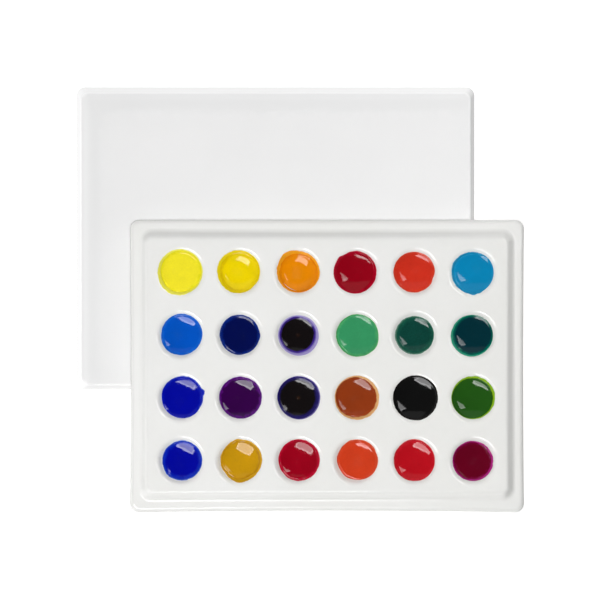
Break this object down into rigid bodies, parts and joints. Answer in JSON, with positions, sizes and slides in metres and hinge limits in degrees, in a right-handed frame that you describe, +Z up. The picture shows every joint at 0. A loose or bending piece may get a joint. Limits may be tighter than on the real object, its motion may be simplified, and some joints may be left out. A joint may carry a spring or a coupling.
{
  "type": "watercolor palette with paint and lid",
  "caption": "Covered ceramic palette: a rectangular tray of round wells, each filled with paint, resting on its shallow flat lid.",
  "frame": {"origin": "on the table, under the middle of the box round the tray and the lid as they lie", "axes": "+Z up, +X along the tray's long side, to the right; +Y towards the back, where the lid stands out from under the tray"},
  "size_m": [0.2682, 0.2556, 0.0283],
  "materials": {
    "lid": "glossy glaze",
    "tray": "glossy glaze",
    "paint_lemon_yellow": "wet gloss",
    "paint_warm_yellow": "wet gloss",
    "paint_orange": "wet gloss",
    "paint_crimson": "wet gloss",
    "paint_vermilion": "wet gloss",
    "paint_cerulean_blue": "wet gloss",
    "paint_cobalt_blue": "wet gloss",
    "paint_navy": "wet gloss",
    "paint_violet_black": "wet gloss",
    "paint_emerald": "wet gloss",
    "paint_viridian": "wet gloss",
    "paint_deep_teal": "wet gloss",
    "paint_ultramarine": "wet gloss",
    "paint_purple": "wet gloss",
    "paint_indigo_black": "wet gloss",
    "paint_burnt_sienna": "wet gloss",
    "paint_black": "wet gloss",
    "paint_sap_green": "wet gloss",
    "paint_royal_blue": "wet gloss",
    "paint_ochre": "wet gloss",
    "paint_carmine": "wet gloss",
    "paint_red_orange": "wet gloss",
    "paint_scarlet": "wet gloss",
    "paint_maroon": "wet gloss"
  },
  "bodies": {
    "lid": {"lid": "lid"},
    "palette": {"tray": "tray", "paint_lemon_yellow": "paint_lemon_yellow", "paint_warm_yellow": "paint_warm_yellow", "paint_orange": "paint_orange", "paint_crimson": "paint_crimson", "paint_vermilion": "paint_vermilion", "paint_cerulean_blue": "paint_cerulean_blue", "paint_cobalt_blue": "paint_cobalt_blue", "paint_navy": "paint_navy", "paint_violet_black": "paint_violet_black", "paint_emerald": "paint_emerald", "paint_viridian": "paint_viridian", "paint_deep_teal": "paint_deep_teal", "paint_ultramarine": "paint_ultramarine", "paint_purple": "paint_purple", "paint_indigo_black": "paint_indigo_black", "paint_burnt_sienna": "paint_burnt_sienna", "paint_black": "paint_black", "paint_sap_green": "paint_sap_green", "paint_royal_blue": "paint_royal_blue", "paint_ochre": "paint_ochre", "paint_carmine": "paint_carmine", "paint_red_orange": "paint_red_orange", "paint_scarlet": "paint_scarlet", "paint_maroon": "paint_maroon"}
  },
  "joints": [
    {"name": "palette_lift", "type": "slide", "parent": "lid", "child": "palette", "axis": [0, 0, 1], "range_m": [0, 0.08]}
  ]
}
